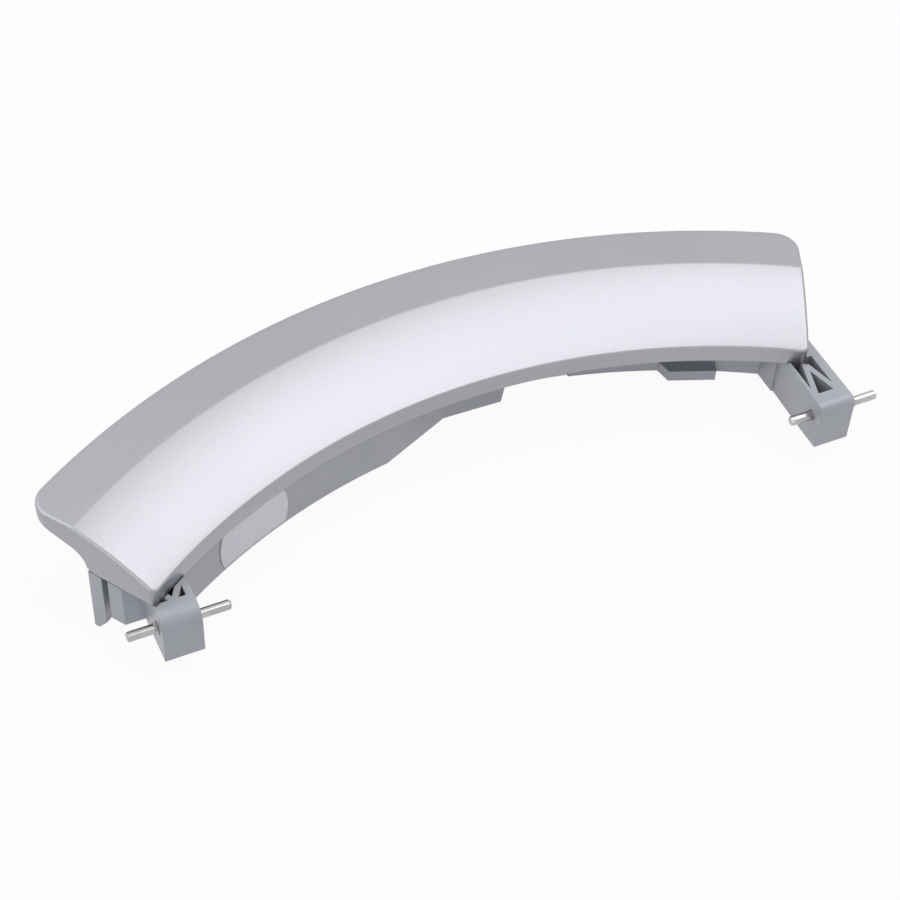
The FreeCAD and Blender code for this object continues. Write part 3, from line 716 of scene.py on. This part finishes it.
# %% A tree that makes nodes
class Tree:
    """The nodes of a material or of the world."""

    def __init__(self, nodes, links):
        self.nodes = nodes
        self.links = links

    def node(self, kind, settings=None, sockets=None):
        """A node of a kind, with its settings and with its sockets fed."""
        node = self.nodes.new(kind)
        for name, value in (settings or {}).items():
            setattr(node, name, value)
        for name, value in (sockets or {}).items():
            self.feed(node.inputs[name], value)
        return node

    def feed(self, socket, value):
        """Links a socket to a value between nodes, or sets a plain value on it."""
        if isinstance(value, Value):
            self.links.new(value.socket, socket)
        elif isinstance(value, bpy.types.NodeSocket):
            self.links.new(value, socket)
        else:
            socket.default_value = value

    def seen_directly(self):
        """1 for rays from the camera, in mirrors and through glass, and 0 for light that bounces."""
        path = self.node("ShaderNodeLightPath")
        seen = Value(self, path.outputs["Is Camera Ray"])
        for name in ("Is Glossy Ray", "Is Transmission Ray"):
            seen = seen.maths("MAXIMUM", seen, path.outputs[name])
        return seen


print("a Tree can", [name for name, thing in vars(Tree).items() if callable(thing)])

# %% [markdown]
# A shader is the tree of one material. It starts with a Principled surface, and its methods name the few
# patterns that this object's finishes are made of.

# %% A shader for a finish
class Shader(Tree):
    """A material with a Principled surface, whose constant sockets are given by name."""

    def __init__(self, name, **constants):
        self.material = bpy.data.materials.new(name)
        self.material.use_nodes = True
        super().__init__(self.material.node_tree.nodes, self.material.node_tree.links)
        self.surface = self.nodes["Principled BSDF"]
        self.place = self.node("ShaderNodeTexCoord").outputs["Object"]
        for socket, value in constants.items():
            self.feed(self.surface.inputs[socket.replace("_", " ")], value)

    def noise(self, scale, detail=3.0, roughness=0.5, squeeze=(1, 1, 1)):
        """Noise from 0 to 1, with scale lumps a metre, squeezed by a factor along each axis."""
        mapping = self.node("ShaderNodeMapping", None, {"Vector": self.place, "Scale": squeeze})
        node = self.node("ShaderNodeTexNoise", None, {
            "Vector": mapping.outputs[0], "Scale": scale, "Detail": detail, "Roughness": roughness,
        })
        return Value(self, node.outputs["Fac"])

    def mix(self, share, first, second):
        """A colour between two. By number, a colour Mix has its share at 0 and its colours at 6 and 7."""
        node = self.node("ShaderNodeMix", {"data_type": "RGBA"}, {0: share, 6: first, 7: second})
        return node.outputs[2]

    def bump(self, height, distance, strength=1.0, edge_radius=0.0):
        """Feeds Normal from a height, with distance in metres, over edges rounded by a radius."""
        sockets = {"Height": height, "Distance": distance, "Strength": strength}
        if edge_radius:
            edges = self.node("ShaderNodeBevel", {"samples": 8}, {"Radius": edge_radius})
            sockets["Normal"] = edges.outputs[0]
        bumps = self.node("ShaderNodeBump", None, sockets)
        self.feed(self.surface.inputs["Normal"], bumps.outputs[0])

    def paint(self, piece):
        """Gives a piece this material alone."""
        piece.data.materials.clear()
        piece.data.materials.append(self.material)
        print(piece.name, "gets", self.material.name, "with", len(self.nodes), "nodes")


print("a Shader also can", [name for name, thing in vars(Shader).items() if callable(thing)])

# %% [markdown]
# ## Silver paint
#
# The cover is sprayed with a silver paint: small metal flakes in a clear binder. From near, the flakes make
# a fine grain that sparkles where a lamp is mirrored. From far, the paint is a soft metal. So the base is
# metallic and fairly rough. The flakes are noise at a quarter of a millimetre, which tilts the surface a
# little and changes its colour, and a slow noise keeps large areas from looking even.

# %% Silver paint
silver = Shader("silver_paint", Metallic=0.88, Coat_Weight=0.12, Coat_Roughness=0.25)
flakes = silver.noise(3800, detail=2.0, roughness=0.7)
cloud = silver.noise(18, detail=2.0)
silver_tone = 0.35 + 0.5 * flakes.between(0.3, 0.7) + 0.3 * (cloud - 0.5)
silver.feed(silver.surface.inputs["Base Color"], silver.mix(
    silver_tone, (0.32, 0.326, 0.355, 1), (0.42, 0.427, 0.463, 1),
))
silver.feed(silver.surface.inputs["Roughness"], 0.40 + 0.08 * (cloud - 0.5) + 0.06 * (flakes - 0.5))
silver.bump(flakes, 0.012 * MM, 0.5)
silver.paint(cover)

# %% [markdown]
# ## Grey moulded plastic
#
# The carrier is a grey plastic with a little metal pigment in it and a satin skin. Its grain is about a
# fifth of a millimetre, and flow marks change its tone slowly along the walls. A moulding has a small radius
# on every edge, which the solid leaves out. The shader rounds the normals there, so that the edges catch
# the light.

# %% Grey plastic
MOULD_RADIUS = 0.25 * MM
grey = Shader("grey_plastic", Metallic=0.12)
skin = grey.noise(5200, detail=2.0)
flow = grey.noise(55, detail=3.0, squeeze=(1, 1, 2.5))
grey.feed(grey.surface.inputs["Base Color"], grey.mix(
    flow.between(0.2, 0.8) * 0.6 + skin * 0.4, (0.42, 0.43, 0.478, 1), (0.485, 0.495, 0.543, 1),
))
grey.feed(grey.surface.inputs["Roughness"], 0.40 + 0.08 * (flow - 0.5) + 0.08 * (skin - 0.5))
grey.bump(skin, 0.010 * MM, 0.6, edge_radius=MOULD_RADIUS)
grey.paint(carrier)

# %% [markdown]
# ## Ground steel
#
# The pins are ground between wheels, which leaves fine rings round them. Noise squeezed along the pin's
# axis gives such rings. They change the roughness and tilt the surface a little.

# %% Ground steel
steel = Shader("ground_steel", Metallic=1.0)
rings = steel.noise(900, detail=3.0, squeeze=(6, 0.3, 0.3))
smears = steel.noise(260, detail=2.0)
steel.feed(steel.surface.inputs["Base Color"], steel.mix(
    smears.between(0.35, 0.75), (0.42, 0.415, 0.412, 1), (0.52, 0.515, 0.51, 1),
))
steel.feed(steel.surface.inputs["Roughness"], 0.14 + 0.1 * rings + 0.06 * (smears - 0.5))
steel.bump(rings, 0.003 * MM, 0.5)
for pin in pins:
    steel.paint(pin)

# %% [markdown]
# ## Label paper
#
# Uncoated paper scatters light evenly. Its fibres are a faint cloud of light and dark, and they lift the
# surface by less than two hundredths of a millimetre.

# %% Label paper
white_paper = Shader("label_paper", Roughness=0.72)
fibres = white_paper.noise(1500, detail=4.0, roughness=0.65, squeeze=(1, 1, 2))
patches = white_paper.noise(120, detail=2.0)
white_paper.feed(white_paper.surface.inputs["Base Color"], white_paper.mix(
    fibres * 0.6 + patches * 0.4, (0.88, 0.885, 0.955, 1), (0.93, 0.935, 0.985, 1),
))
white_paper.bump(fibres, 0.02 * MM, 0.5)
white_paper.paint(label)

# %% [markdown]
# ## The floor
#
# The handle rests on a pale floor. Camera rays and mirrored rays see it nearly white, which costs the object
# no extra light. A small share of the plain surface is left in that white, so the floor keeps the shadow.

# %% The floor
FLOOR_SIZE = 12.0
FLOOR_GAP = 0.2 * MM
FLOOR_WHITE = 0.945
floor_level = SOLID_BOX[0].z - FLOOR_GAP
floor_mesh = bpy.data.meshes.new("floor")
half = FLOOR_SIZE / 2
corners = [(-half, -half), (half, -half), (half, half), (-half, half)]
floor_mesh.from_pydata([(*corner, floor_level) for corner in corners], [], [(0, 1, 2, 3)])
floor = bpy.data.objects.new("floor", floor_mesh)
bpy.context.scene.collection.objects.link(floor)

pale = Shader("pale_floor", Base_Color=(0.86, 0.86, 0.87, 1), Roughness=0.9, Specular_IOR_Level=0.0)
white = pale.node("ShaderNodeEmission", None, {"Color": (1, 1, 1, 1), "Strength": 1.0})
blend = pale.node("ShaderNodeMixShader", None, {
    0: pale.seen_directly() * FLOOR_WHITE, 1: pale.surface.outputs[0], 2: white.outputs[0],
})
pale.feed(pale.nodes["Material Output"].inputs["Surface"], blend.outputs[0])
pale.paint(floor)

# %% [markdown]
# ## The world
#
# The world gives a weak, slightly cool light from all round. Camera rays and mirrored rays see a white as
# pale as the floor instead, so that no horizon shows.

# %% The world
world = bpy.data.worlds.new("studio")
bpy.context.scene.world = world
world.use_nodes = True
studio = Tree(world.node_tree.nodes, world.node_tree.links)
soft = studio.nodes["Background"]
studio.feed(soft.inputs["Color"], (0.93, 0.96, 1.0, 1))
studio.feed(soft.inputs["Strength"], 0.28)
bright = studio.node("ShaderNodeBackground", None, {"Color": (0.985, 0.985, 0.985, 1)})
either = studio.node("ShaderNodeMixShader", None, {
    0: studio.seen_directly(), 1: soft.outputs[0], 2: bright.outputs[0],
})
studio.feed(studio.nodes["World Output"].inputs["Surface"], either.outputs[0])
print("the world has", len(studio.nodes), "nodes")

# %% [markdown]
# ## The lamps
#
# A large soft lamp hangs overhead, and its mirror image lies on the crowned face. A wide one high on the
# left lightens the level surfaces, and a weak one on the camera's side fills in the walls.

# %% The lamps
def softbox(name, place, target, size, watts, colour=(1, 1, 1)):
    """A rectangular lamp at a place, turned to a target."""
    data = bpy.data.lights.new(name, "AREA")
    data.shape = "RECTANGLE"
    data.size, data.size_y = size
    data.energy = watts
    data.color = colour
    lamp = bpy.data.objects.new(name, data)
    lamp.location = place
    aim = Vector(target) - Vector(place)
    lamp.rotation_euler = aim.to_track_quat("-Z", "Y").to_euler()
    bpy.context.scene.collection.objects.link(lamp)
    return lamp


softbox("overhead", (0.40, -0.03, 0.95), (0.0, 0.04, 0.0), (1.1, 0.62), 4.6, (1.0, 0.985, 0.965))
softbox("high_left", (-0.75, 0.55, 0.9), (0.0, 0.03, 0.0), (1.4, 1.4), 5.5)
softbox("camera_side", (-1.1, -0.75, 0.4), (0.0, 0.03, 0.0), (0.8, 0.8), 2.1)
print("lamps", [light.name for light in bpy.data.lights])

# %% [markdown]
# ## The camera
#
# The photograph looks down on the handle from the left. Its place and turn were solved from the ring-shaped
# edges and the two pins, which lie on one line.

# %% The camera
EYE = Vector((-205.0, -355.9, 465.7)) * MM
AZIMUTH = -26.83 * DEGREE
ELEVATION = 47.15 * DEGREE
ROLL = 3.0 * DEGREE
LENS = 84.6

lens = bpy.data.cameras.new("photo_lens")
lens.lens = LENS
lens.sensor_width = 36
lens.clip_start = 0.01
camera = bpy.data.objects.new("photo_camera", lens)
backwards = Vector((
    math.sin(AZIMUTH) * math.cos(ELEVATION),
    -math.cos(AZIMUTH) * math.cos(ELEVATION),
    math.sin(ELEVATION),
))
turn = (-backwards).to_track_quat("-Z", "Y").to_matrix() @ Matrix.Rotation(ROLL, 3, "Z")
camera.matrix_world = Matrix.Translation(EYE) @ turn.to_4x4()
bpy.context.scene.collection.objects.link(camera)
bpy.context.scene.camera = camera
bpy.context.scene.view_settings.view_transform = "Standard"
print("camera right", np.round(turn.col[0], 4))

# %% [markdown]
